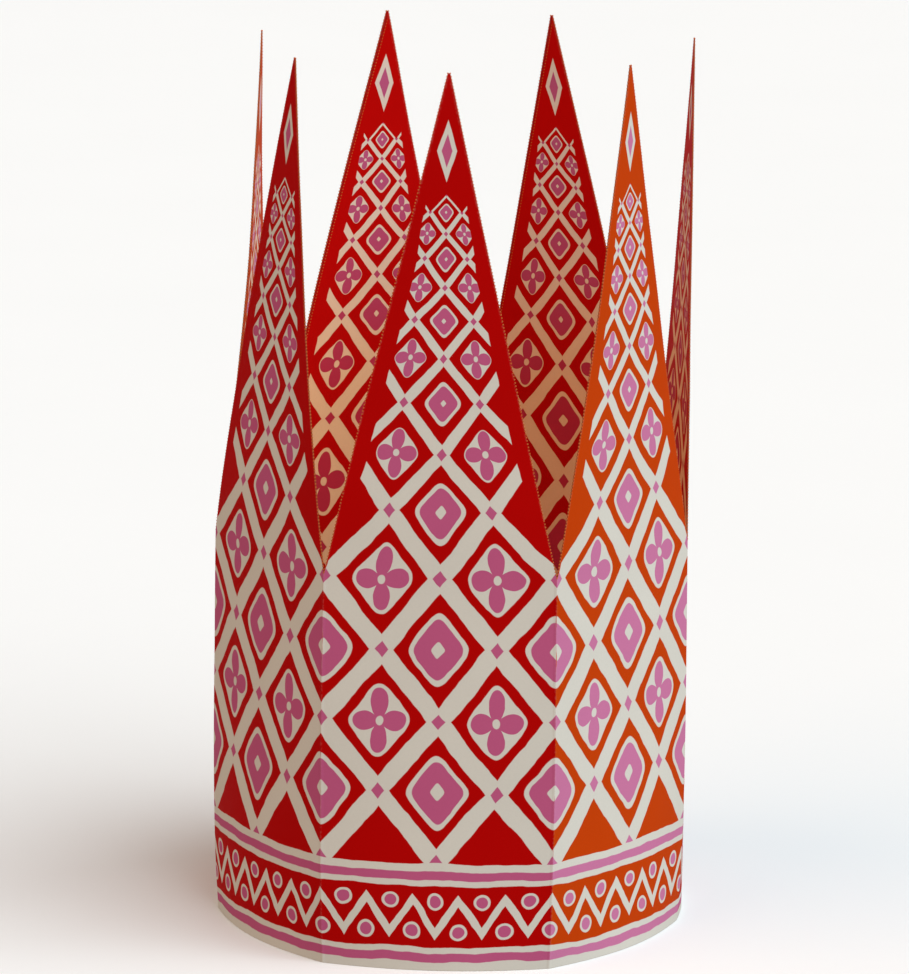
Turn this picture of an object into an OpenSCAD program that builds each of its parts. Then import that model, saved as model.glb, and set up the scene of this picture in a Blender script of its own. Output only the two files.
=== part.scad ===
// A paper crown: one strip of printed card, creased into panels that each rise to a tall spire,
// bowed and folded into an oval ring and glued at the back.
// The bottom edge lies on z = 0, the front panel faces -Y, and the ring is centred on the Z axis.

/* [Sheet] */
// Number of panels, each with one spire
panel_count = 7; // [6:1:9]
// Width of one panel on the flat sheet, from fold to fold
panel_w = 80; // [65:1:100]
// Height of the spires' points above the bottom edge
crown_h = 311; // [220:1:400]
// Height of the notches between the spires
notch_h = 138.5; // [80:0.5:180]
// Width of the blunt end of a spire's point
point_w = 0.8; // [0.4:0.1:3]
// Thickness of the card
card = 0.4; // [0.2:0.05:0.8]

/* [Folding] */
// Turn of a panel across its width at the bottom edge, in degrees
base_bow = 42; // [24:1:42]
// Turn of a panel across its width at the notches, in degrees
notch_bow = 12; // [12:0.5:18]
// Turn that moves from the sides to the front and back of the ring, in degrees
oval = 6; // [0:0.25:6]

/* [Glue tab] */
// Width of the tab inside the back seam
tab_w = 14; // [8:1:25]
// Rise of the tab's slanted ends
tab_slant = 8; // [2:1:20]
// Gap between the tab and the bottom edge, and between the tab and the notch
tab_margin = 3; // [1:0.5:10]

/* [Hidden] */
$fn = 96;

// Card bends without stretching, so a panel is a patch of a cone that opens upward.
// The cone's bending radius is base_r at the bottom edge and notch_r at the notches.
base_r = panel_w / (base_bow * PI / 180);
notch_r = panel_w / (notch_bow * PI / 180);
cone_drop = notch_h * base_r / (notch_r - base_r);
cone_angle = atan2(base_r, cone_drop);

// Panels are numbered from the front one, 0, round both sides to the seam at the back.
last_panel = floor(panel_count / 2);
first_panel = last_panel - panel_count + 1;
panel_turn = 360 / panel_count;

// A panel runs this far past its folds, so that neighbours join into one sheet.
fold_lap = card / 4;
// Reach of the raw wall and of the cutting shapes past the card that is kept
cut_reach = 20 * card;

// The panel's edge at height z: its distance along the cone and its turn round the cone's axis
function edge_run(z) = norm([panel_w / 2, cone_drop + z]);
function edge_turn(z) = atan2(panel_w / 2, cone_drop + z) / sin(cone_angle);
// Half of the panel's width in a straight line, and how far its edges lie behind its middle
function half_w(z) = edge_run(z) * sin(cone_angle) * sin(edge_turn(z));
function sag(z) = edge_run(z) * sin(cone_angle) * cos(cone_angle) * (1 - cos(edge_turn(z)));

// The folds spread a little as the bow eases with height, and the spires lean in for it.
fold_spread = (half_w(notch_h) - half_w(0)) / tan(panel_turn / 2);
lean = atan((sag(0) - sag(notch_h) - fold_spread) / notch_h);

// Plan of the ring at the bottom edge
function heading(k) = panel_turn * k + oval * sin(2 * panel_turn * k);
function along(a) = [cos(a), sin(a)];
function chord(k) = 2 * half_w(0) * along(heading(k));
function corner(k) =
    k == 0 ? [-half_w(0), 0] :
    k > 0 ? corner(k - 1) + chord(k - 1) : corner(k + 1) - chord(k);

// A fold bulges out a little between the floor and its notch: its place at height z, out from its foot
function fold_out(k, z) =
    let (half_turn = (heading(k + 1) - heading(k)) / 2)
    (half_w(z) - half_w(0)) * sin(half_turn) + (sag(0) - sag(z) - z * tan(lean)) * cos(half_turn);
fold_steps = 16;
back_bulge = max([for (i = [0 : fold_steps]) fold_out(last_panel, notch_h * i / fold_steps)]);
front_y = -sag(0) - card / 2;
back_y = corner(last_panel + 1)[1] + back_bulge + card / 2;
ring_centre = [0, (front_y + back_y) / 2];

// Card between two offsets from the middle of the sheet, on the panel's cone.
// Here X runs along the panel's chord, Y points into the ring, and the folds meet the floor at y = 0.
module cone_wall(inner, outer) {
    function rim(run, off) = [run * sin(cone_angle) + off * cos(cone_angle),
                              run * cos(cone_angle) - off * sin(cone_angle)];
    low = cone_drop - cut_reach;
    high = (cone_drop + crown_h) / cos(lean) + cut_reach;
    sweep = 2 * atan2(panel_w / 2 + cut_reach, low) / sin(cone_angle);
    translate([0, -sag(0) - cone_drop * sin(lean), -cone_drop * cos(lean)])
        rotate([-cone_angle - lean, 0, 0])
            rotate([0, 0, -90 - sweep / 2])
                rotate_extrude(angle = sweep)
                    polygon([rim(low, inner), rim(low, outer), rim(high, outer), rim(high, inner)]);
}

// All between a panel's two folds, where it meets its neighbours edge to edge
module between_folds(k) {
    function side(turn, reach) = [half_w(0) + fold_lap, 0] + reach * [-sin(turn / 2), cos(turn / 2)];
    right = heading(k + 1) - heading(k);
    left = heading(k) - heading(k - 1);
    out = -sag(0) - cut_reach;
    in = crown_h * sin(lean) + cut_reach;
    mirrored = [[-1, 0], [0, 1]];
    linear_extrude(height = crown_h)
        polygon([side(right, out), side(right, in), mirrored * side(left, in), mirrored * side(left, out)]);
}

// Prism of an outline in X and Z, reaching through the panel from front to back
module through_panel() {
    depth = 2 * (sag(0) + crown_h * sin(lean) + cut_reach);
    rotate([90, 0, 0]) linear_extrude(height = depth, center = true) children();
}

// The straight cuts from the notches up to the spire's point, carried on down past the folds
module spire_outline() {
    foot = half_w(notch_h) + (half_w(notch_h) - point_w / 2) * notch_h / (crown_h - notch_h);
    polygon([[-foot, 0], [foot, 0], [point_w / 2, crown_h], [-point_w / 2, crown_h]]);
}

// The tab's outline on the panel that it is glued to, from the seam's fold
module tab_outline() {
    root = -half_w(notch_h) - fold_lap;
    tip = -half_w(notch_h) + tab_w;
    top = notch_h - tab_margin;
    polygon([[root, tab_margin], [tip, tab_margin + tab_slant], [tip, top - tab_slant], [root, top]]);
}

module panel(k) {
    intersection() {
        cone_wall(-card / 2, card / 2);
        between_folds(k);
        through_panel() spire_outline();
    }
}

// The tab lies against the inside of its panel, and the glue makes them one.
module glue_tab(k) {
    intersection() {
        cone_wall(-1.5 * card, -card / 4);
        between_folds(k);
        through_panel() tab_outline();
    }
}

module at_panel(k) {
    middle = (corner(k) + corner(k + 1)) / 2 - ring_centre;
    translate([middle[0], middle[1], 0]) rotate([0, 0, heading(k)]) children();
}

module crown() {
    color([0.66, 0.04, 0.03]) {
        for (k = [first_panel : last_panel]) at_panel(k) panel(k);
        at_panel(first_panel) glue_tab(first_panel);
    }
}

crown();
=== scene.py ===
"""A paper crown: one strip of printed card, creased, bowed and glued into a ring of tall spires."""

import math

import bmesh
import bpy
from bpy.props import FloatProperty, FloatVectorProperty, IntProperty, PointerProperty
from mathutils import Matrix, Vector


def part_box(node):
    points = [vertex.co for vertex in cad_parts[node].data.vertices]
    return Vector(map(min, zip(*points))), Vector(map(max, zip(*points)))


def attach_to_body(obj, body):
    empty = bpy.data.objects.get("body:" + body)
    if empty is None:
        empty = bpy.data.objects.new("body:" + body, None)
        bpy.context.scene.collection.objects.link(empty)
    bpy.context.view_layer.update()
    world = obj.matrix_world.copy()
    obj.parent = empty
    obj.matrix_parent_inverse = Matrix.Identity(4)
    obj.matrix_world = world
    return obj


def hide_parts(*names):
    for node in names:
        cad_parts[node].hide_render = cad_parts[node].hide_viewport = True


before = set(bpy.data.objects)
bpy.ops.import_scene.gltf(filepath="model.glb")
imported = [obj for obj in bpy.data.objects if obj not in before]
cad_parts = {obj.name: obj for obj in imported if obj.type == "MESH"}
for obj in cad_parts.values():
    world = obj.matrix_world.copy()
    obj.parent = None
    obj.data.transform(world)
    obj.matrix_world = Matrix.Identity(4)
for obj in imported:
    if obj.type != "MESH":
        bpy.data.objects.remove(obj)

bl_info = {
    "name": "Paper Crown",
    "version": (1, 0, 0),
    "blender": (4, 5, 0),
    "location": "3D View > Sidebar > Crown",
    "description": "Folds a printed card crown, tears its perforations and sets it on a studio floor",
    "category": "Add Mesh",
}

MM = 0.001
CAD_LOW, CAD_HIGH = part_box("crown")
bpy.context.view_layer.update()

# Names that the sheet's mesh, its node trees and its materials share
FLAT_MAP = "flat"
PANEL, HEADING, FOOT, MITRE = "panel", "heading", "foot", "mitre"
CURL, ARCH, SWAY, TWIST, LIFT, IS_TAB = "curl", "arch", "sway", "twist", "lift", "is_tab"
CUT_EDGE, FOLD_EDGE = "cut_edge", "fold_edge"

# The sheet's material slots: the outer face, the inner face, the cut edges, and the bare card of the tab
OUTSIDE, INSIDE, RIM, BARE = 0, 1, 2, 3


# Settings

def length(name, description, default_mm):
    """A length property, kept in metres."""
    return FloatProperty(name=name, description=description, default=default_mm * MM,
                         unit="LENGTH", precision=5)


def angle(name, description, default_deg):
    """An angle property, kept in radians."""
    return FloatProperty(name=name, description=description, default=math.radians(default_deg),
                         subtype="ANGLE")


def colour(name, description, default):
    """A colour property of linear red, green and blue."""
    return FloatVectorProperty(name=name, description=description, default=default, subtype="COLOR",
                               size=3, min=0.0, max=1.0)


def spire_lengths(name, description, defaults_mm):
    """One length for each spire, from the back left round to the back right, kept in metres."""
    return FloatVectorProperty(name=name, description=description, size=len(defaults_mm),
                               default=[value * MM for value in defaults_mm], unit="LENGTH", precision=5)


def spire_angles(name, description, defaults_deg):
    """One angle for each spire, from the back left round to the back right, kept in radians."""
    return FloatVectorProperty(name=name, description=description, size=len(defaults_deg),
                               default=[math.radians(value) for value in defaults_deg], subtype="EULER")


class CrownSheetSettings(bpy.types.PropertyGroup):
    """Sizes of the card blank and of its folding."""
    panel_count: IntProperty(name="Panels", description="Panels of the strip, each with one spire", default=7)
    panel_w: length("Panel Width", "Flat width of a panel from fold to fold", 80.0)
    crown_h: FloatProperty(name="Height", description="Height of the points above the bottom edge",
                           default=CAD_HIGH[2], unit="LENGTH", precision=5)
    notch_h: length("Notch Height", "Height of the notches between the spires", 138.5)
    point_w: length("Point Width", "Width of the blunt end of a point", 0.8)
    card: length("Card", "Thickness of the card", 0.4)
    base_bow: angle("Base Bow", "Turn of a panel across its width at the bottom edge", 42.0)
    notch_bow: angle("Notch Bow", "Turn of a panel across its width at the notches", 12.0)
    oval: angle("Oval", "Turn that moves from the sides to the front and back of the ring", 6.0)
    tab_w: length("Tab Width", "Width of the glue tab inside the back seam", 14.0)
    tab_slant: length("Tab Slant", "Rise of the tab's slanted ends", 8.0)
    tab_margin: length("Tab Margin", "Gap between the tab and the edges above and below it", 3.0)
    curl: spire_lengths("Spire Curl", "How far each point curls into the ring, from the back left round",
                        (0.0, 2.7, 6.5, 5.7, -0.7, -7.4, 5.0))
    arch: spire_lengths("Spire Arch", "How far each spire bows in halfway up, from the back left round",
                        (0.0, 1.5, 0.0, 0.0, 0.0, -0.6, 0.0))
    sway: spire_lengths("Spire Sway", "How far each point stands to the side, from the back left round",
                        (-2.8, 0.0, 1.2, 0.7, 1.2, 0.0, 2.7))
    twist: spire_angles("Spire Twist", "How far each point turns about its height, from the back left round",
                        (-12.3, 9.7, 0.2, 0.7, 3.7, -1.3, 3.7))
    ripple: length("Ripple", "Depth of the card's slow waves from handling", 0.5)
    ripple_size: length("Ripple Size", "Size of the card's slow waves", 70.0)


class CrownPrintSettings(bpy.types.PropertyGroup):
    """Inks of the print, with painted light on some of them, and sizes of its shapes."""
    paper: colour("Paper", "Unprinted card, outer face", (0.70, 0.68, 0.605))
    # Painted light: the inner face has the same print as the outer one. Its card, red and pink are lighter
    # and warmer copies that stand in for the warm bounce light inside the ring.
    inner_paper: colour("Inner Paper", "Unprinted card, inner face", (0.80, 0.715, 0.60))
    # Painted warm bounce light on the card low on the inner face
    deep_paper: colour("Deep Paper", "Unprinted card low on the inner face", (0.90, 0.57, 0.30))
    red: colour("Red", "Ground ink, outer face", (0.465, 0.0012, 0.0008))
    # Painted bounce light: the same red ink, made brighter on the inner face
    inner_red: colour("Inner Red", "Ground ink, inner face", (0.54, 0.002, 0.0012))
    # Painted light: the red ground as it looks where the light at the right falls strongly. It is painted on
    # one panel outside and on the inside of the panel across from it, and the ink there is the same red.
    orange: colour("Orange", "Ground ink of one panel outside, and inside of the one across from it",
                   (0.56, 0.052, 0.002))
    pink: colour("Pink", "Ink of the small shapes", (0.53, 0.105, 0.235))
    # Painted shade and red bounce light on the pink low on the inner face
    deep_pink: colour("Deep Pink", "Ink of the small shapes low on the inner face", (0.53, 0.03, 0.055))
    # Painted light: the pink as it looks on the panels lit by the light at the right.
    pale_pink: colour("Pale Pink", "Ink of the small shapes beside the orange ground", (0.60, 0.19, 0.36))
    # The cut edges are given a darker reddish-brown card tone.
    cut_edge: colour("Cut Edge", "Stained card along the cuts", (0.30, 0.07, 0.03))
    # Painted shade and red bounce light: the ties and nicks are pale card, given a darker tan-orange tone.
    torn_fibre: colour("Torn Fibre", "Card of the torn ties and in the nicks", (0.60, 0.15, 0.038))
    border_h: length("Border Height", "Height of the border along the bottom edge", 38.0)
    tooth_w: length("Tooth Width", "Width of one tooth of the border's zigzag", 16.0)
    cell_w: length("Cell Width", "Width of a lozenge of the trellis below the notches", 40.0)
    cell_h: length("Cell Height", "Height of a lozenge of the trellis below the notches", 50.0)
    edge_margin: length("Edge Margin", "Plain ground along a spire's cut edges", 5.5)
    rows: IntProperty(name="Rows", description="Rows of lozenges from the border to the point", default=13)
    wobble: length("Wobble", "How far the hand-cut outlines wander", 0.75)


class TornTieSettings(bpy.types.PropertyGroup):
    """Sizes of the torn ties and the nicks of the press-out perforation."""
    pitch: length("Tie Pitch", "Distance from tie to tie along a cut edge", 1.13)
    size: length("Tie Size", "Width of a torn tie before it is spread", 0.42)
    seed: IntProperty(name="Tie Seed", description="Seed of the ties' spread", default=7)
    nick_inset: length("Nick Inset", "Distance from a cut edge to the row of nicks on the inner face", 0.80)
    nick_size: length("Nick Size", "Width of a nick", 0.42)


class CrownStageSettings(bpy.types.PropertyGroup):
    """Camera and light."""
    azimuth: angle("Azimuth", "Turn of the camera round the crown, from the front towards its right", 3.2)
    elevation: angle("Elevation", "Height of the camera above level", 11.83)
    roll: angle("Roll", "Turn of the camera about its line of sight", 0.67)
    distance: length("Distance", "Distance from the camera to the point that it looks at", 2224.0)
    lens: FloatProperty(name="Lens", description="Focal length in millimetres", default=230.9)
    aim_drop: length("Aim Drop", "How far below the crown's middle the camera looks", 4.57)
    aim_side: length("Aim Side", "How far to the left of the crown's middle the camera looks", 0.42)
    key: FloatProperty(name="Key Light", description="Strength of the soft light at the right", default=3.0)
    key_tint: colour("Key Tint", "Colour of the soft light at the right", (0.97, 0.985, 1.0))
    key_spread: angle("Key Spread", "Angle that the light at the right fills", 75.0)
    fill: FloatProperty(name="Fill Light", description="Strength of the warm light at the left", default=1.05)
    fill_tint: colour("Fill Tint", "Colour of the warm light at the left", (1.0, 0.55, 0.28))
    fill_spread: angle("Fill Spread", "Angle that the light at the left fills", 60.0)
    sky: FloatProperty(name="Sky", description="Strength of the even light all round", default=0.30)


# Node trees written as Python expressions

def pick(sockets, key):
    """One of the sockets in use, by its place or its name."""
    active = [socket for socket in sockets if socket.enabled]
    return active[key] if isinstance(key, int) else next(socket for socket in active if socket.name == key)


class Graph:
    """A node tree that is being built."""

    def __init__(self, tree):
        self.tree = tree

    def add(self, kind, settings=None, sockets=None, out=0):
        """Adds a node: its settings first, then its sockets' values or links. Gives one of its outputs."""
        node = self.tree.nodes.new(kind)
        for name, value in (settings or {}).items():
            setattr(node, name, value)
        for key, value in (sockets or {}).items():
            socket = pick(node.inputs, key)
            if isinstance(value, Val):
                self.tree.links.new(value.socket, socket)
            else:
                socket.default_value = value
        return Val(self, pick(node.outputs, out)) if node.outputs else None


class Val:
    """A socket whose arithmetic adds Math nodes."""

    def __init__(self, graph, socket):
        self.graph = graph
        self.socket = socket

    def also(self, out):
        """Another output of the same node."""
        return Val(self.graph, pick(self.socket.node.outputs, out))

    def math(self, operation, *others):
        """A Math node with this value first."""
        return self.graph.add("ShaderNodeMath", {"operation": operation}, dict(enumerate((self, *others))))

    def after(self, operation, first):
        """A Math node with this value second."""
        return self.graph.add("ShaderNodeMath", {"operation": operation}, {0: first, 1: self})

    def __add__(self, other):
        return self.math("ADD", other)

    __radd__ = __add__

    def __sub__(self, other):
        return self.math("SUBTRACT", other)

    def __rsub__(self, other):
        return self.after("SUBTRACT", other)

    def __mul__(self, other):
        return self.math("MULTIPLY", other)

    __rmul__ = __mul__

    def __truediv__(self, other):
        return self.math("DIVIDE", other)

    def __rtruediv__(self, other):
        return self.after("DIVIDE", other)

    def __pow__(self, other):
        return self.math("POWER", other)

    def __abs__(self):
        return self.math("ABSOLUTE")

    def sin(self):
        return self.math("SINE")

    def cos(self):
        return self.math("COSINE")

    def sqrt(self):
        return self.math("SQRT")

    def log(self):
        return self.math("LOGARITHM", math.e)

    def floor(self):
        return self.math("FLOOR")

    def fract(self):
        return self.math("FRACT")

    def atan2(self, other):
        return self.math("ARCTAN2", other)

    def least(self, other):
        return self.math("MINIMUM", other)

    def most(self, other):
        return self.math("MAXIMUM", other)

    def rise(self, start, end):
        """0 before start and 1 after end, with a smooth step between. It falls where end comes first."""
        return self.graph.add("ShaderNodeMapRange", {"interpolation_type": "SMOOTHSTEP"},
                              {"Value": self, "From Min": start, "From Max": end})

    def over(self, edge, soft):
        """1 above the edge and 0 below it, with a smooth step that reaches soft to either side."""
        return self.rise(edge - soft, edge + soft)

    def under(self, edge, soft):
        """1 below the edge and 0 above it, with a smooth step that reaches soft to either side."""
        return self.rise(edge + soft, edge - soft)

    def between(self, low, high, soft):
        """1 between the two edges and 0 outside them, with smooth steps that reach soft to either side."""
        return self.over(low, soft) * self.under(high, soft)


def mixed(graph, share, first, second):
    """A colour between two."""
    return graph.add("ShaderNodeMix", {"data_type": "RGBA"}, {"Factor": share, "A": first, "B": second})


def opaque(rgb):
    return (*rgb, 1.0)


# Detail of the noise in smooth waves, in tones and in fine grain
WAVE_DETAIL, TONE_DETAIL, GRAIN_DETAIL = 1.0, 2.0, 3.0


def noise(graph, place, scale, detail, out=0):
    return graph.add("ShaderNodeTexNoise", {"noise_dimensions": "3D"},
                     {"Vector": place, "Scale": scale, "Detail": detail}, out=out)


# The ring's plan

class Fold:
    """The rule by which the flat strip is bowed and folded, the same as the solid's."""

    def __init__(self, s):
        self.half_panel = s.panel_w / 2
        self.card = s.card
        base_r = s.panel_w / s.base_bow
        notch_r = s.panel_w / s.notch_bow
        self.drop = s.notch_h * base_r / (notch_r - base_r)
        self.cone = math.atan2(base_r, self.drop)
        self.turn = math.tau / s.panel_count
        spread = (self.half_w(s.notch_h) - self.half_w(0.0)) / math.tan(self.turn / 2)
        self.lean = math.atan((self.sag(0.0) - self.sag(s.notch_h) - spread) / s.notch_h)
        self.flat_h = s.crown_h / math.cos(self.lean)
        self.oval = s.oval
        self.last = s.panel_count // 2
        self.first = self.last - s.panel_count + 1
        self.panels = range(self.first, self.last + 1)

    def edge(self, z):
        """The panel edge's distance along the cone and its turn round the cone's axis."""
        run = math.hypot(self.half_panel, self.drop + z)
        return run, math.atan2(self.half_panel, self.drop + z) / math.sin(self.cone)

    def half_w(self, z):
        """Half of the panel's width in a straight line."""
        run, turn = self.edge(z)
        return run * math.sin(self.cone) * math.sin(turn)

    def sag(self, z):
        """How far the panel's edges lie behind its middle."""
        run, turn = self.edge(z)
        return run * math.sin(self.cone) * math.cos(self.cone) * (1 - math.cos(turn))

    def heading(self, k):
        return self.turn * k + self.oval * math.sin(2 * self.turn * k)

    def chord(self, k):
        return 2 * self.half_w(0.0) * Vector((math.cos(self.heading(k)), math.sin(self.heading(k)), 0.0))

    def feet(self):
        """The middle of each panel's chord on the floor, with the ring centred as the solid is."""
        corners = {0: Vector((-self.half_w(0.0), 0.0, 0.0))}
        for k in range(self.last + 1):
            corners[k + 1] = corners[k] + self.chord(k)
        for k in range(-1, self.first - 1, -1):
            corners[k] = corners[k + 1] - self.chord(k)
        shift = Vector((0.0, CAD_LOW[1] + self.card / 2 + self.sag(0.0), 0.0))
        return {k: (corners[k] + corners[k + 1]) / 2 + shift for k in self.panels}

    def mitre(self, k, side):
        """Slope of the plane in which the panel meets its neighbour on that side."""
        return math.tan(abs(self.heading(k + side) - self.heading(k)) / 2)


# The card blank, flat

COLUMNS = 24
BAND_ROWS = 26
SPIRE_ROWS = 44
TAB_COLUMNS = 6
TAB_ROWS = 26


def attach(mesh, name, values):
    """Stores one number or vector for each vertex under a name."""
    is_vector = isinstance(values[0], Vector)
    layer = mesh.attributes.new(name, "FLOAT_VECTOR" if is_vector else "FLOAT", "POINT")
    for item, value in zip(layer.data, values):
        if is_vector:
            item.vector = value
        else:
            item.value = value


def mark_edges(mesh, name, pairs):
    """Stores under a name which of the mesh's edges join one of the pairs of vertices."""
    wanted = {frozenset(pair) for pair in pairs}
    layer = mesh.attributes.new(name, "BOOLEAN", "EDGE")
    for edge in mesh.edges:
        layer.data[edge.index].value = frozenset(edge.vertices) in wanted


def blank_mesh(s, fold):
    """The flat strip and its tab, with what the folding needs to know kept at each vertex."""
    points, facts, faces, flats = [], [], [], []
    cut, creased = [], []
    half_panel, half_point = s.panel_w / 2, s.point_w / 2
    spire_h = fold.flat_h - s.notch_h
    heights = [s.notch_h * i / BAND_ROWS for i in range(BAND_ROWS + 1)]
    heights += [s.notch_h + spire_h * i / SPIRE_ROWS for i in range(1, SPIRE_ROWS + 1)]
    feet = fold.feet()

    def half_at(z):
        climb = max(0.0, (z - s.notch_h) / spire_h)
        return half_panel + (half_point - half_panel) * climb

    def corner(k, across, z, lift=0.0, tab=0.0):
        spire = k - fold.first
        points.append((k * s.panel_w + across, 0.0, z))
        facts.append({
            PANEL: float(k), HEADING: fold.heading(k), FOOT: feet[k],
            MITRE: fold.mitre(k, 1 if across > 0 else -1), CURL: s.curl[spire], ARCH: s.arch[spire],
            SWAY: s.sway[spire], TWIST: s.twist[spire], LIFT: lift, IS_TAB: tab})
        flats.append((spire * s.panel_w + half_panel + across, z))
        return len(points) - 1

    def join(grid):
        for low, high in zip(grid, grid[1:]):
            faces.extend((low[j], low[j + 1], high[j + 1], high[j]) for j in range(len(low) - 1))

    for k in fold.panels:
        grid = [[corner(k, half_at(z) * (2 * j / COLUMNS - 1), z) for j in range(COLUMNS + 1)]
                for z in heights]
        join(grid)
        for j in (0, COLUMNS):
            side = [row[j] for row in grid]
            creased += list(zip(side[:BAND_ROWS], side[1:BAND_ROWS + 1]))
            cut += list(zip(side[BAND_ROWS:], side[BAND_ROWS + 1:]))

    low_end, high_end = s.tab_margin, s.notch_h - s.tab_margin
    grid = []
    for i in range(TAB_ROWS + 1):
        row = []
        for j in range(TAB_COLUMNS + 1):
            inset = s.tab_slant * j / TAB_COLUMNS
            z = low_end + inset + (high_end - low_end - 2 * inset) * i / TAB_ROWS
            across = s.tab_w * j / TAB_COLUMNS - half_panel
            row.append(corner(fold.first, across, z, lift=s.card, tab=1.0))
        grid.append(row)
    join(grid)

    mesh = bpy.data.meshes.new("crown_blank")
    mesh.from_pydata(points, [], faces)
    for name in facts[0]:
        attach(mesh, name, [fact[name] for fact in facts])
    strip = s.panel_w * s.panel_count
    flat = mesh.uv_layers.new(name=FLAT_MAP)
    for loop in mesh.loops:
        u, v = flats[loop.vertex_index]
        flat.data[loop.index].uv = (u / strip, v / strip)
    mark_edges(mesh, CUT_EDGE, cut)
    mark_edges(mesh, FOLD_EDGE, creased)
    return mesh


# Geometry Nodes

# A spire's curl and sway grow with this power of the way up it.
BEND_POWER = 1.5
# Vertices at the folds that lie closer than this become one.
WELD = 0.02 * MM
# A torn tie's spread, from the least to the most: both ways across the cut, and along it
TIE_LEAST, TIE_MOST = (1.5, 1.5, 1.5), (1.8, 1.8, 1.9)


def geometry_graph(name, numbers, materials, counts=()):
    """A tree with a geometry input, the named number, count and material inputs, and a geometry output."""
    tree = bpy.data.node_groups.new(name, "GeometryNodeTree")
    tree.interface.new_socket("Geometry", in_out="INPUT", socket_type="NodeSocketGeometry")
    for kind, labels in (("Float", numbers), ("Int", counts), ("Material", materials)):
        for label in labels:
            tree.interface.new_socket(label, in_out="INPUT", socket_type="NodeSocket" + kind)
    tree.interface.new_socket("Geometry", in_out="OUTPUT", socket_type="NodeSocketGeometry")
    graph = Graph(tree)
    source = graph.add("NodeGroupInput").socket.node
    return graph, {socket.name: Val(graph, socket) for socket in source.outputs if socket.name}


def stored(graph, name, kind="FLOAT"):
    return graph.add("GeometryNodeInputNamedAttribute", {"data_type": kind}, {"Name": name})


def evaluated(obj):
    """The object's mesh with its modifiers carried out, as a plain mesh."""
    depsgraph = bpy.context.evaluated_depsgraph_get()
    return bpy.data.meshes.new_from_object(obj.evaluated_get(depsgraph))


def run_tree(obj, tree, values):
    """Puts the tree on the object with its inputs set, and keeps the result as the object's plain mesh."""
    modifier = obj.modifiers.new(tree.name, "NODES")
    modifier.node_group = tree
    for item in tree.interface.items_tree:
        if item.item_type == "SOCKET" and item.in_out == "INPUT" and item.name in values:
            modifier[item.identifier] = values[item.name]
    mesh = evaluated(obj)
    obj.modifiers.clear()
    obj.data = mesh


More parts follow.
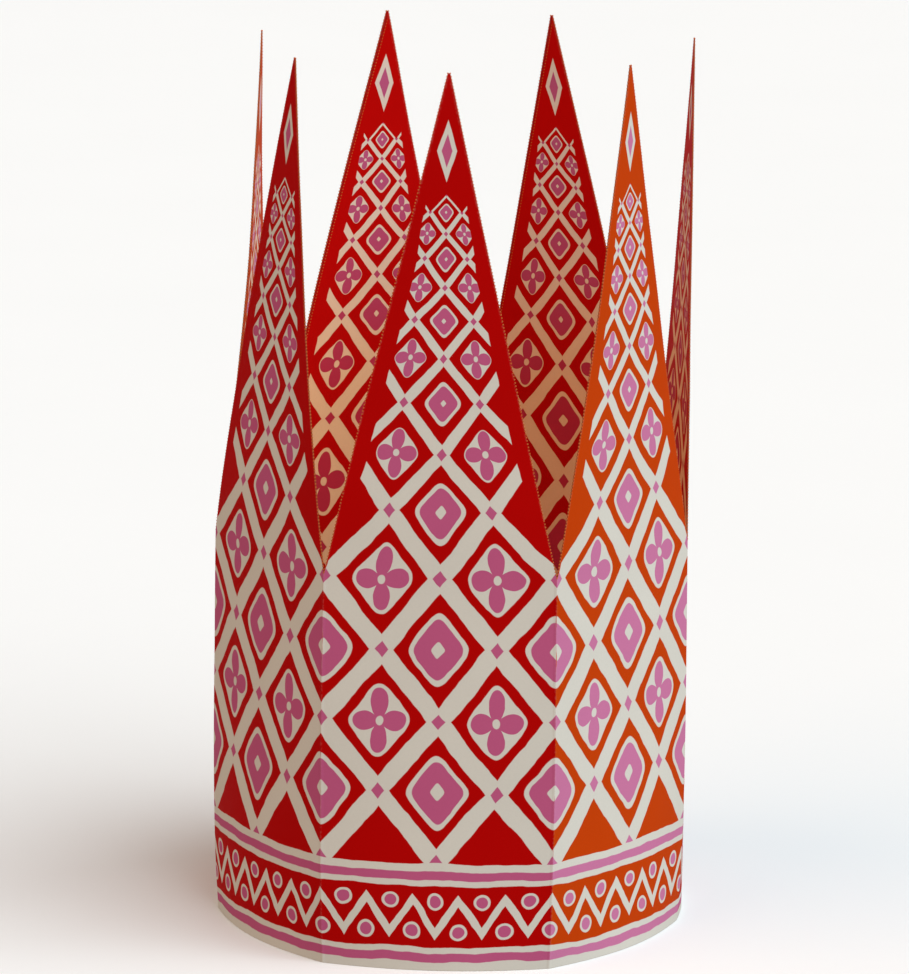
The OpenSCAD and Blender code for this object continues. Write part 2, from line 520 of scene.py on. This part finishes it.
def folding_tree():
    """Bends each panel of the flat strip on its cone, stands it on its side of the ring, welds the folds."""
    graph, given = geometry_graph(
        "Fold Crown", ("Panel Width", "Notch Height", "Crown Height", "Cone Drop", "Cone Angle", "Lean",
                       "Ripple", "Ripple Size", "Weld"), ("Print", "Bare Card"))
    width, notch, tall = given["Panel Width"], given["Notch Height"], given["Crown Height"]
    drop, cone, lean = given["Cone Drop"], given["Cone Angle"], given["Lean"]
    place = graph.add("GeometryNodeInputPosition")
    parts = graph.add("ShaderNodeSeparateXYZ", sockets={0: place})
    across = parts - stored(graph, PANEL) * width
    height = parts.also("Z")

    def bowed(side, z):
        """A place on the cone: across, inwards, upwards, and its turn round the cone's axis."""
        run = (side * side + (drop + z) * (drop + z)).sqrt()
        turn = side.atan2(drop + z) / cone.sin()
        upward = (cone.sin() * cone.sin() * (run * turn.cos() - drop)
                  + cone.cos() * cone.cos() * (run - drop))
        return run * cone.sin() * turn.sin(), run * cone.sin() * cone.cos() * (1 - turn.cos()), upward, turn

    span, inward, upward, turn = bowed(across, height)
    foot_span, sag, _, _ = bowed(width / 2, height * 0)

    # Each panel's edge is drawn to the plane between it and its neighbour, so that the two meet exactly.
    edge_span, edge_inward, edge_upward, _ = bowed(width / 2, height.least(notch))
    edge_depth = edge_inward * lean.cos() + edge_upward * lean.sin() - sag
    spread = foot_span - edge_depth * stored(graph, MITRE) - edge_span
    span = span + spread * across / (width / 2)

    # The tab stands one card's thickness inside its panel.
    lift = stored(graph, LIFT)
    span = span - lift * cone.cos() * turn.sin()
    inward = inward + lift * (cone.cos() * cone.cos() * turn.cos() + cone.sin() * cone.sin())
    upward = upward + lift * cone.sin() * cone.cos() * (1 - turn.cos())

    # Each spire has a set of its own: it curls, arches, sways and twists from its notches up.
    climb = ((height - notch) / (tall - notch)).most(0)
    bend = climb ** BEND_POWER
    twist = stored(graph, TWIST) * climb * (2 - climb)
    arch = stored(graph, ARCH) * 4 * climb * (1 - climb)
    spine = height * lean.sin() - sag
    bulge = inward * lean.cos() + upward * lean.sin() - sag - spine
    depth = spine + span * twist.sin() + bulge * twist.cos() + stored(graph, CURL) * bend + arch
    span = span * twist.cos() - bulge * twist.sin() + stored(graph, SWAY) * bend
    rise = (upward * lean.cos() - inward * lean.sin()).most(0)

    heading = stored(graph, HEADING)
    turned = graph.add("ShaderNodeCombineXYZ", sockets={
        0: span * heading.cos() - depth * heading.sin(), 1: span * heading.sin() + depth * heading.cos(),
        2: rise})
    moved = graph.add("ShaderNodeVectorMath", {"operation": "ADD"},
                      {0: turned, 1: stored(graph, FOOT, "FLOAT_VECTOR")})

    # Slow waves of handled card, fading out at the floor
    waves = noise(graph, moved, 1 / given["Ripple Size"], WAVE_DETAIL, out="Color")
    centred = graph.add("ShaderNodeVectorMath", {"operation": "SUBTRACT"}, {0: waves, 1: (0.5, 0.5, 0.5)})
    level = graph.add("ShaderNodeVectorMath", {"operation": "MULTIPLY"}, {0: centred, 1: (1.0, 1.0, 0.0)})
    rippled = graph.add("ShaderNodeVectorMath", {"operation": "SCALE"},
                        {0: level, "Scale": given["Ripple"] * 2 * (rise / notch).least(1)})

    folded = graph.add("GeometryNodeSetPosition", sockets={
        "Geometry": given["Geometry"], "Position": moved, "Offset": rippled})
    welded = graph.add("GeometryNodeMergeByDistance", sockets={
        "Geometry": folded, "Selection": stored(graph, IS_TAB).math("LESS_THAN", 0.5),
        "Distance": given["Weld"]})
    real = graph.add("GeometryNodeRealizeInstances", sockets={"Geometry": welded})
    printed = graph.add("GeometryNodeSetMaterial", sockets={"Geometry": real, "Material": given["Print"]})
    finished = graph.add("GeometryNodeSetMaterial", sockets={
        "Geometry": printed, "Selection": stored(graph, IS_TAB).math("GREATER_THAN", 0.5),
        "Material": given["Bare Card"]})
    graph.add("NodeGroupOutput", sockets={"Geometry": finished})
    return graph.tree


def tie_tree():
    """Sets a small torn tie at every step along the cut edges."""
    graph, given = geometry_graph("Torn Ties", ("Pitch", "Size"), ("Torn Fibre",), counts=("Seed",))
    edges = graph.add("GeometryNodeMeshToCurve", sockets={
        "Mesh": given["Geometry"], "Selection": stored(graph, CUT_EDGE, "BOOLEAN")})
    steps = graph.add("GeometryNodeCurveToPoints", {"mode": "LENGTH"},
                      {"Curve": edges, "Length": given["Pitch"]})
    tuft = graph.add("GeometryNodeMeshIcoSphere", sockets={"Radius": given["Size"] / 2, "Subdivisions": 1})
    spread = graph.add("FunctionNodeRandomValue", {"data_type": "FLOAT_VECTOR"}, {
        "Min": TIE_LEAST, "Max": TIE_MOST, "Seed": given["Seed"]})
    ties = graph.add("GeometryNodeInstanceOnPoints", sockets={
        "Points": steps, "Instance": tuft, "Rotation": steps.also("Rotation"), "Scale": spread})
    real = graph.add("GeometryNodeRealizeInstances", sockets={"Geometry": ties})
    finished = graph.add("GeometryNodeSetMaterial", sockets={
        "Geometry": real, "Material": given["Torn Fibre"]})
    graph.add("NodeGroupOutput", sockets={"Geometry": finished})
    return graph.tree


# Materials

# The card's fine tooth: its grain and its height
TOOTH_GRAIN, TOOTH_HEIGHT = 0.45 * MM, 0.006 * MM
PRINT_SPECULAR, FIBRE_SPECULAR, FLOOR_SPECULAR = 0.02, 0.1, 0.15


def new_material(name, specular):
    """A material with an empty tree but for its shader and output."""
    material = bpy.data.materials.new(name)
    material.use_nodes = True
    graph = Graph(material.node_tree)
    shader = next(node for node in material.node_tree.nodes if node.type == "BSDF_PRINCIPLED")
    shader.inputs["Specular IOR Level"].default_value = specular
    return material, graph, shader


def finish_material(graph, shader, base, rough, normal):
    for name, value in (("Base Color", base), ("Roughness", rough), ("Normal", normal)):
        graph.tree.links.new(value.socket, shader.inputs[name])


def card_grain(graph, unit, place, extra=0.0):
    """The bump of the card's tooth, with an extra height. unit is the place's own unit in metres."""
    tooth = noise(graph, place, unit / TOOTH_GRAIN, GRAIN_DETAIL) * TOOTH_HEIGHT
    return graph.add("ShaderNodeBump", sockets={"Distance": 1.0, "Height": tooth + extra})


# The print's drawing, in millimetres on the flat sheet. A lozenge's own measures are shares of its size.

# The hand-cut outlines wander on a slow and a quick wave: each one's size, and its swing in wobbles.
SLOW_WAVE, SLOW_SWING = 17.0, 3.2
QUICK_WAVE, QUICK_SWING = 4.5, 0.9
# What is left of that wander at a spire's point
POINT_WANDER = 0.3
# At a point, the spire's width and the lozenges stay this share of what they are at the notches.
THINNEST, SMALLEST = 0.01, 0.02

# A lozenge's edges: of the bars round it, of the knots where they cross, of its frame, core and eye
BAR_EDGE, KNOT_EDGE, FRAME_EDGE, CORE_EDGE, EYE_EDGE = 0.795, 0.115, 0.59, 0.49, 0.135
LOZENGE_SOFT = 0.01
# Power of the outline of a frame and core: the higher, the squarer their corners
CORNER_POWER = 5
# A flower: its reach between petals, what a petal adds to it, and its eye
FLOWER_WAIST, PETAL, FLOWER_EYE = 0.12, 0.335, 0.0675
PETAL_SOFT, FLOWER_EYE_SOFT = 0.008, 0.0075
# Keeps the division at a flower's middle from being by nothing
NEARLY_NOTHING = 0.0001
# On the spires the bars and frames are slimmer and show more ground, in full this far above the notches.
SLIM_RISE, BAR_SLIM, FRAME_SLIM = 60.0, 0.04, 0.05
# Above this row, lozenges with their middles this far aside stay empty, because the cuts would split them.
SPLIT_ROW, SPLIT_SIDE = 3.5, 30.0
ROW_SOFT, SPLIT_SOFT = 0.1, 1.0

# The plain edge along a spire's cuts: where it starts and is full, from the notches up, and the most of
# the spire's half width that it takes. The trellis laps over it a little and ends softly.
MARGIN_START, MARGIN_FULL, MARGIN_SHARE = -6.0, 45.0, 0.34
MARGIN_LAP, MARGIN_SOFT = 0.225, 0.125
# The diamond at a point: half its width and height, its middle's drop below the point, its heart's share
DIAMOND_W, DIAMOND_H, DIAMOND_DROP, DIAMOND_HEART, DIAMOND_SOFT = 3.4, 10.5, 26.0, 0.54, 0.03

# The border: the band of its zigzag, and its stripes, from its foot or down from its head
BAND_FOOT, BAND_HEAD = 8.2, 7.8
FOOT_STRIPE, HEAD_STRIPE = (3.1, 6.2), (5.7, 2.7)
STRIPE_SOFT, BORDER_SOFT = 0.15, 0.12
ZIGZAG_SWING, ZIGZAG_HALF, ZIGZAG_SOFT = 6.0, 2.2, 0.15
# The dots in the zigzag's bays: their distance from its middle, their radius and their heart's
DOT_OFF, DOT_R, DOT_HEART, DOT_SOFT = 5.4, 3.025, 2.125, 0.125

# How softly the red ground changes to and from the painted-light orange of the lit panels
GROUND_SOFT = 0.12
# Heights above the notches from which, and down to which, the inner face grows warmer with painted warm
# bounce light
BOUNCE_FROM, BOUNCE_TO = 130.0, 20.0

# A darker strip between the nicks and the cut edge: how much darker it is, its distance from their row and
# its softness
EDGE_STRIP_DARKENING, EDGE_STRIP_LAP, EDGE_STRIP_SOFT = 0.3, 0.2, 0.1
# How softly the nicks start above a notch and end at the middle of a spire, and a nick's own soft share
NICK_START, NICK_END, NICK_SOFT = 1.0, 0.15, 0.25

# Wear: sizes of the speckle and clouds in ink and card, and how much they change tone and roughness
SPECKLE, CLOUD = 0.9, 26.0
SPECKLE_TONE, CLOUD_TONE, SPECKLE_ROUGH = 0.06, 0.08, 0.10
# The print's middle tone, the ink's roughness, and what bare card adds to that
TONE, INK_ROUGH, PAPER_ROUGH = 0.96, 0.58, 0.12
# Cracked ink on creases and chips at the cut edges: their shares of bare card, and their reach
CREASE_WEAR, CHIP_WEAR = 0.05, 0.06
CREASE_OUT, CREASE_IN, CREASE_SOFT = 0.55, 0.1, 0.5
CHIP_REACH, CHIP_SOFT, CHIP_CLEAR = 0.3, 0.2, 1.0
# Wear shows only where the speckle is over this.
WORN_SPECKLE, WORN_SOFT = 0.52, 0.1
# The bead that a crease presses up: its sides, its ends about the notch, and its height in metres
BEAD_OUT, BEAD_IN, BEAD_END, BEAD_FULL = 1.1, 0.2, 1.0, -2.0
BEAD_HEIGHT = 0.12 * MM


class SheetPlace:
    """A place on the flat sheet, in millimetres: the true one, and the one that the drawing takes it for."""

    def __init__(self, graph, sheet, wobble):
        self.panel_w, self.notch, self.tall = sheet.panel_w / MM, sheet.notch_h / MM, sheet.crown_h / MM
        self.half_panel = self.panel_w / 2
        self.spire_h = self.tall - self.notch
        self.strip = sheet.panel_w * sheet.panel_count
        self.flat = graph.add("ShaderNodeUVMap", {"uv_map": FLAT_MAP})
        parts = graph.add("ShaderNodeSeparateXYZ", sockets={0: self.flat})
        self.along, self.height = parts * (self.strip / MM), parts.also("Y") * (self.strip / MM)
        self.side = ((self.along / self.panel_w).fract() - 0.5) * self.panel_w
        taper = ((self.tall - self.height) / self.spire_h).least(1).most(THINNEST)
        self.half = taper * self.half_panel

        slow, quick = self.wave(graph, SLOW_WAVE), self.wave(graph, QUICK_WAVE)
        ease = (POINT_WANDER + (1 - POINT_WANDER) * self.half / self.half_panel) * wobble

        def wander(out):
            return ((slow.also(out) - 0.5) * SLOW_SWING + (quick.also(out) - 0.5) * QUICK_SWING) * ease

        self.drawn_side, self.drawn_height = self.side + wander("X"), self.height + wander("Y")
        self.drawn_along = self.along + wander("X")

    def texture_scale(self, size):
        """The scale of a texture on the flat map whose features have that size."""
        return self.strip / (size * MM)

    def wave(self, graph, size):
        """A smooth wave's parts, each from 0 to 1."""
        return graph.add("ShaderNodeSeparateXYZ", sockets={
            0: noise(graph, self.flat, self.texture_scale(size), WAVE_DETAIL, out="Color")})


def trellis(place, inks):
    """Lozenges that shrink in step with the spires. Gives the paper's and the pink ink's shares."""
    across, height, notch = place.drawn_side, place.drawn_height, place.notch
    scale = ((place.tall - height) / place.spire_h).least(1).most(SMALLEST)
    grown = across / scale
    climb = height.least(notch) - place.spire_h * scale.log() - inks.border_h / MM
    cell_w, cell_h = inks.cell_w / MM, inks.cell_h / MM
    rising, falling = grown / cell_w + climb / cell_h, grown / cell_w - climb / cell_h
    row = rising.floor() - falling.floor()
    odd = (row / 2).fract() * 2
    aside = abs(rising.floor() + falling.floor() + 1) * (cell_w / 2)
    split = aside.over(SPLIT_SIDE, SPLIT_SOFT) * row.over(SPLIT_ROW, ROW_SOFT)
    whole = row.over(0.5, ROW_SOFT) * (1 - split)

    # The place in a lozenge from its middle, along its two pairs of sides
    one_way, other_way = rising.fract() - 0.5, falling.fract() - 0.5
    wide, high = abs(one_way) * 2, abs(other_way) * 2
    slim = place.height.rise(notch, notch + SLIM_RISE)
    square = wide.most(high) - BAR_SLIM * slim
    rounded = (wide ** CORNER_POWER + high ** CORNER_POWER) ** (1 / CORNER_POWER) + FRAME_SLIM * slim
    bars = square.over(BAR_EDGE, LOZENGE_SOFT)
    knots = (1 - wide).most(1 - high).under(KNOT_EDGE, LOZENGE_SOFT) * bars
    frames = rounded.under(FRAME_EDGE, LOZENGE_SOFT)
    cores = rounded.between(EYE_EDGE, CORE_EDGE, LOZENGE_SOFT)

    # A four-petalled flower, upright in its lozenge
    sideways, upright = one_way + other_way, one_way - other_way
    far_squared = sideways * sideways + upright * upright
    far = far_squared.sqrt()
    lobes = abs((sideways * sideways - upright * upright) / far_squared.most(NEARLY_NOTHING))
    flowers = ((far - (FLOWER_WAIST + PETAL * lobes)).under(0.0, PETAL_SOFT)
               * far.over(FLOWER_EYE, FLOWER_EYE_SOFT))
    paper = bars.most(frames * whole)
    pink = knots.most((odd * cores + (1 - odd) * flowers) * whole)

    # Plain ground along the cut edges and above the last row, and a diamond at the point
    margin = (height.rise(notch + MARGIN_START, notch + MARGIN_FULL) * (inks.edge_margin / MM)).least(
        place.half * MARGIN_SHARE)
    in_field = ((place.half - abs(across)).over(margin - MARGIN_LAP, MARGIN_SOFT)
                * row.under(inks.rows + 0.5, ROW_SOFT))
    diamond = abs(across) / DIAMOND_W + abs(height - (place.tall - DIAMOND_DROP)) / DIAMOND_H
    return ((paper * in_field).most(diamond.under(1.0, DIAMOND_SOFT)),
            (pink * in_field).most(diamond.under(DIAMOND_HEART, DIAMOND_SOFT)))


def border(place, inks):
    """Stripes, and a zigzag with dots in its bays. Gives the paper's and the pink ink's shares."""
    height, head = place.drawn_height, inks.border_h / MM
    low, high = BAND_FOOT, head - BAND_HEAD
    middle = (low + high) / 2
    tooth = inks.tooth_w / MM
    off_peak = abs((place.drawn_along / tooth).fract() - 0.5)
    line = middle + (off_peak * 2 - 0.5) * (2 * ZIGZAG_SWING)
    zigzag = abs(height - line).under(ZIGZAG_HALF, ZIGZAG_SOFT)

    def from_dot(side, level):
        drop = height - level
        return (side * side + drop * drop).sqrt()

    dot = from_dot((0.5 - off_peak) * tooth, middle - DOT_OFF).least(
        from_dot(off_peak * tooth, middle + DOT_OFF))
    in_band = height.between(low, high, STRIPE_SOFT)
    foot_stripe = height.between(*FOOT_STRIPE, STRIPE_SOFT)
    head_stripe = height.between(head - HEAD_STRIPE[0], head - HEAD_STRIPE[1], STRIPE_SOFT)
    paper = (1 - in_band).most(zigzag).most(dot.under(DOT_R, DOT_SOFT))
    pink = (in_band * dot.under(DOT_HEART, DOT_SOFT)).most(foot_stripe).most(head_stripe)
    return paper, pink


def face_inks(graph, place, sheet, inks, outside):
    """The colours of one face: its bare card, its small shapes and its ground.

    One panel's ground is painted orange and its pink paler outside, and so is the inside of the panel across
    the ring: painted light where the light at the right falls strongly on the red ink.
    The inner face is warmer towards its foot.
    """
    paper, pink, red = opaque(inks.paper), opaque(inks.pink), opaque(inks.red)
    lit_panel = sheet.panel_count // 2 + 1
    if not outside:
        lit_panel = 1
        # Painted warm bounce light: the inner face's card and inks are lit copies, more so towards its foot.
        bounce_share = place.height.rise(place.notch + BOUNCE_FROM, place.notch + BOUNCE_TO)
        paper = mixed(graph, bounce_share, opaque(inks.inner_paper), opaque(inks.deep_paper))
        pink = mixed(graph, bounce_share, pink, opaque(inks.deep_pink))
        red = opaque(inks.inner_red)
    # The lit panel's orange ground and paler pink are painted light, not another ink.
    start = place.panel_w * lit_panel
    on_lit_panel = place.along.between(start, start + place.panel_w, GROUND_SOFT)
    return (paper, mixed(graph, on_lit_panel, pink, opaque(inks.pale_pink)),
            mixed(graph, on_lit_panel, red, opaque(inks.orange)))


def perforation(place, ties):
    """The nicks that the perforating rule left beside one cut edge of each spire, and a darker strip between
    them and the edge.
    """
    slope = place.spire_h / math.hypot(place.half_panel, place.spire_h)
    pitch, nick_r = ties.pitch / MM * slope, ties.nick_size / MM / 2
    from_row = place.half - place.side - ties.nick_inset / MM
    from_nick = ((place.height / pitch).fract() - 0.5) * pitch
    above = place.height.over(place.notch + NICK_START, NICK_START)
    nicks = (from_row * from_row + from_nick * from_nick).sqrt().under(nick_r, nick_r * NICK_SOFT) * above
    on_its_side = place.side.over(-NICK_END, NICK_END)
    return nicks * on_its_side, from_row.under(-EDGE_STRIP_LAP, EDGE_STRIP_SOFT) * above


def print_material(name, sheet, inks, ties, outside):
    """The print on one face of the card: a border along the foot and a trellis above, with their wear."""
    material, graph, shader = new_material(name, PRINT_SPECULAR)
    place = SheetPlace(graph, sheet, inks.wobble / MM)
    notch, half_panel = place.notch, place.half_panel
    paper, pink = trellis(place, inks)
    border_paper, border_pink = border(place, inks)
    in_border = place.drawn_height.under(inks.border_h / MM, BORDER_SOFT)
    paper = paper + in_border * (border_paper - paper)
    pink = pink + in_border * (border_pink - pink)
    paper_ink, pink_ink, ground_ink = face_inks(graph, place, sheet, inks, outside)
    printed = mixed(graph, pink, mixed(graph, paper, ground_ink, paper_ink), pink_ink)

    # Ink and card vary a little, and pale card shows where ink has cracked or chipped.
    speckle = noise(graph, place.flat, place.texture_scale(SPECKLE), TONE_DETAIL)
    cloud = noise(graph, place.flat, place.texture_scale(CLOUD), TONE_DETAIL)
    shade = TONE + SPECKLE_TONE * (speckle - 0.5) + CLOUD_TONE * (cloud - 0.5)
    if not outside:
        nicks, edge_strip = perforation(place, ties)
        # The nicks take the torn fibre's tan-orange, which is painted shade and red bounce light.
        printed = mixed(graph, nicks, printed, opaque(inks.torn_fibre))
        # The inner face is made darker along the strip by the cut edge.
        shade = shade - EDGE_STRIP_DARKENING * edge_strip
    crease = (abs(place.side).rise(half_panel - CREASE_OUT, half_panel - CREASE_IN)
              * place.height.under(notch, CREASE_SOFT))
    chips = ((place.half - abs(place.side)).under(CHIP_REACH, CHIP_SOFT)
             * place.height.over(notch, CHIP_CLEAR))
    wear = (crease * CREASE_WEAR + chips * CHIP_WEAR) * speckle.over(WORN_SPECKLE, WORN_SOFT)
    worn = mixed(graph, wear, printed, paper_ink)
    base = graph.add("ShaderNodeVectorMath", {"operation": "SCALE"}, {0: worn, "Scale": shade})
    rough = INK_ROUGH + PAPER_ROUGH * (paper - pink).most(0) + SPECKLE_ROUGH * (speckle - 0.5)
    bead = (abs(place.side).rise(half_panel - BEAD_OUT, half_panel - BEAD_IN)
            * place.height.rise(notch + BEAD_END, notch + BEAD_FULL))
    grain = card_grain(graph, place.strip, place.flat, bead * BEAD_HEIGHT)
    finish_material(graph, shader, base, rough, grain)
    return material


# The card's core: sizes of its fibres and stains, how they share its tone, its darkest, and its roughness
FIBRE, STAIN = 0.5 * MM, 14 * MM
FIBRE_SHARE, CORE_DARKEST = 0.65, 0.80
CORE_ROUGH, FIBRE_ROUGH = 0.72, 0.16


def fibre_material(name, tone):
    """The card's fibrous core, in a tone of its own at the cut edges, on the ties and on the glue tab."""
    material, graph, shader = new_material(name, FIBRE_SPECULAR)
    place = graph.add("ShaderNodeTexCoord", out="Object")
    fibre = noise(graph, place, 1 / FIBRE, GRAIN_DETAIL)
    stain = noise(graph, place, 1 / STAIN, TONE_DETAIL)
    share = FIBRE_SHARE * fibre + (1 - FIBRE_SHARE) * stain
    base = mixed(graph, share, opaque(Vector(tone) * CORE_DARKEST), opaque(tone))
    finish_material(graph, shader, base, CORE_ROUGH + FIBRE_ROUGH * fibre, card_grain(graph, 1.0, place))
    return material


# The floor, in metres: half its width, its drop below the crown's foot, its two tones, their clouds to a
# metre, and its roughness
FLOOR_REACH, FLOOR_DROP = 6.0, 0.0001
FLOOR_LOW, FLOOR_HIGH, FLOOR_CLOUDS = (0.855, 0.91, 0.93), (0.865, 0.92, 0.94), 6.0
FLOOR_ROUGH, FLOOR_ROUGH_VARIES = 0.75, 0.1


def floor_material():
    material, graph, shader = new_material("studio_floor", FLOOR_SPECULAR)
    place = graph.add("ShaderNodeTexCoord", out="Object")
    tone = noise(graph, place, FLOOR_CLOUDS, TONE_DETAIL)
    base = mixed(graph, tone, opaque(FLOOR_LOW), opaque(FLOOR_HIGH))
    rough = FLOOR_ROUGH + FLOOR_ROUGH_VARIES * tone
    finish_material(graph, shader, base, rough, card_grain(graph, 1.0, place))
    return material


# Pieces

# Faces that meet at more than this angle show an edge.
EDGE_ANGLE = math.radians(50)


def put_in_scene(name, data):
    obj = bpy.data.objects.new(name, data)
    bpy.context.collection.objects.link(obj)
    return obj


class CROWN_OT_fold_sheet(bpy.types.Operator):
    """Folds the printed card into the crown"""
    bl_idname = "crown.fold_sheet"
    bl_label = "Fold Sheet"

    def execute(self, context):
        scene = context.scene
        s, inks, ties = scene.crown_sheet, scene.crown_print, scene.torn_ties
        fold = Fold(s)
        slots = [print_material("print_outside", s, inks, ties, outside=True),
                 print_material("print_inside", s, inks, ties, outside=False),
                 fibre_material("cut_edge", inks.cut_edge), fibre_material("bare_card", inks.paper)]
        sheet = put_in_scene("crown_sheet", blank_mesh(s, fold))
        run_tree(sheet, folding_tree(), {
            "Panel Width": s.panel_w, "Notch Height": s.notch_h, "Crown Height": fold.flat_h,
            "Cone Drop": fold.drop, "Cone Angle": fold.cone, "Lean": fold.lean, "Ripple": s.ripple,
            "Ripple Size": s.ripple_size, "Weld": WELD, "Print": slots[OUTSIDE], "Bare Card": slots[BARE]})
        self.keep_cut_line(sheet)
        self.thicken(sheet, slots, s.card)
        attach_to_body(sheet, "root")
        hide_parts("crown")
        return {"FINISHED"}

    @staticmethod
    def keep_cut_line(sheet):
        """A copy of the folded sheet before it has thickness, for the ties."""
        line = sheet.data.copy()
        line.name = "cut_line"
        line.use_fake_user = True

    @staticmethod
    def thicken(sheet, slots, card):
        """Gives the card its thickness, each face its material, and the folds and rims their edges."""
        mesh = sheet.data
        is_tab = [item.value > 0.5 for item in mesh.attributes[IS_TAB].data]
        mesh.materials.clear()
        for material in slots:
            mesh.materials.append(material)
        for face in mesh.polygons:
            face.material_index = BARE if is_tab[face.vertices[0]] else OUTSIDE
        solid = sheet.modifiers.new("Card", "SOLIDIFY")
        solid.thickness = card
        solid.offset = 0.0
        solid.use_even_offset = True
        solid.material_offset = INSIDE - OUTSIDE
        solid.material_offset_rim = RIM - OUTSIDE
        mesh = evaluated(sheet)
        sheet.modifiers.clear()
        sheet.data = mesh
        form = bmesh.new()
        form.from_mesh(mesh)
        creased = form.edges.layers.bool.get(FOLD_EDGE)
        for face in form.faces:
            face.smooth = True
        for edge in form.edges:
            sharp = len(edge.link_faces) == 2 and edge.calc_face_angle() > EDGE_ANGLE
            edge.smooth = not (sharp or edge[creased])
        form.to_mesh(mesh)
        form.free()


class CROWN_OT_torn_ties(bpy.types.Operator):
    """Leaves the torn ties of the perforation along the spires' cut edges"""
    bl_idname = "crown.torn_ties"
    bl_label = "Torn Ties"

    def execute(self, context):
        s = context.scene.torn_ties
        line = bpy.data.meshes["cut_line"]
        ties = put_in_scene("torn_ties", line)
        # The ties' tone is painted shade and red bounce light on pale card.
        run_tree(ties, tie_tree(), {
            "Pitch": s.pitch, "Size": s.size, "Seed": s.seed,
            "Torn Fibre": fibre_material("torn_fibre", context.scene.crown_print.torn_fibre)})
        bpy.data.meshes.remove(line)
        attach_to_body(ties, "root")
        return {"FINISHED"}


# From the crown towards the light at the right and the light at the left
KEY_SIDE, FILL_SIDE = (0.866, -0.5, 1.0), (-0.866, -0.5, 0.7)
# How far the camera sees
CLIP_END = 50.0


class CROWN_OT_stage(bpy.types.Operator):
    """Lays the floor, and sets the lights and the camera"""
    bl_idname = "crown.stage"
    bl_label = "Stage"

    def execute(self, context):
        scene, s = context.scene, context.scene.crown_stage
        self.lay_floor()
        self.hang_light("key", s.key, s.key_tint, s.key_spread, KEY_SIDE)
        self.hang_light("fill", s.fill, s.fill_tint, s.fill_spread, FILL_SIDE)
        self.light_room(scene, s.sky)
        self.set_camera(scene, s)
        scene.view_settings.view_transform = "Standard"
        return {"FINISHED"}

    @staticmethod
    def lay_floor():
        corners = ((-1, -1), (1, -1), (1, 1), (-1, 1))
        mesh = bpy.data.meshes.new("floor")
        mesh.from_pydata([(x * FLOOR_REACH, y * FLOOR_REACH, -FLOOR_DROP) for x, y in corners], [],
                         [(0, 1, 2, 3)])
        mesh.materials.append(floor_material())
        floor = put_in_scene("floor", mesh)
        floor.visible_diffuse = False

    @staticmethod
    def hang_light(name, strength, tint, spread, side):
        """A distant soft light on that side of the crown."""
        lamp = bpy.data.lights.new(name, "SUN")
        lamp.energy, lamp.color, lamp.angle = strength, tint, spread
        light = put_in_scene(name, lamp)
        light.rotation_euler = Vector(side).to_track_quat("Z", "Y").to_euler()

    @staticmethod
    def light_room(scene, strength):
        world = bpy.data.worlds.new("studio")
        world.use_nodes = True
        background = next(node for node in world.node_tree.nodes if node.type == "BACKGROUND")
        background.inputs["Color"].default_value = (1.0, 1.0, 1.0, 1.0)
        background.inputs["Strength"].default_value = strength
        scene.world = world

    @staticmethod
    def set_camera(scene, s):
        level = math.cos(s.elevation)
        back = Vector((level * math.sin(s.azimuth), -level * math.cos(s.azimuth), math.sin(s.elevation)))
        aim = Vector((-s.aim_side, 0.0, CAD_HIGH[2] / 2 - s.aim_drop))
        camera = put_in_scene("camera", bpy.data.cameras.new("camera"))
        camera.data.lens = s.lens
        camera.data.clip_end = CLIP_END
        turn = back.to_track_quat("Z", "Y").to_matrix().to_4x4() @ Matrix.Rotation(s.roll, 4, "Z")
        camera.matrix_world = Matrix.Translation(aim + back * s.distance) @ turn
        scene.camera = camera


class CROWN_PT_panel(bpy.types.Panel):
    """The crown's settings and steps"""
    bl_label = "Paper Crown"
    bl_idname = "CROWN_PT_panel"
    bl_space_type = "VIEW_3D"
    bl_region_type = "UI"
    bl_category = "Crown"

    def draw(self, context):
        for name in SETTINGS:
            group = getattr(context.scene, name)
            box = self.layout.box()
            for setting in group.__annotations__:
                box.prop(group, setting)
        for operator in OPERATORS:
            self.layout.operator(operator.bl_idname)


SETTINGS = {"crown_sheet": CrownSheetSettings, "crown_print": CrownPrintSettings,
            "torn_ties": TornTieSettings, "crown_stage": CrownStageSettings}
OPERATORS = (CROWN_OT_fold_sheet, CROWN_OT_torn_ties, CROWN_OT_stage)
CLASSES = (*SETTINGS.values(), *OPERATORS, CROWN_PT_panel)


def register():
    for cls in CLASSES:
        bpy.utils.register_class(cls)
    for name, group in SETTINGS.items():
        setattr(bpy.types.Scene, name, PointerProperty(type=group))


def unregister():
    for name in SETTINGS:
        delattr(bpy.types.Scene, name)
    for cls in reversed(CLASSES):
        bpy.utils.unregister_class(cls)


def main():
    register()
    bpy.ops.crown.fold_sheet()
    bpy.ops.crown.torn_ties()
    bpy.ops.crown.stage()


if __name__ == "__main__":
    main()
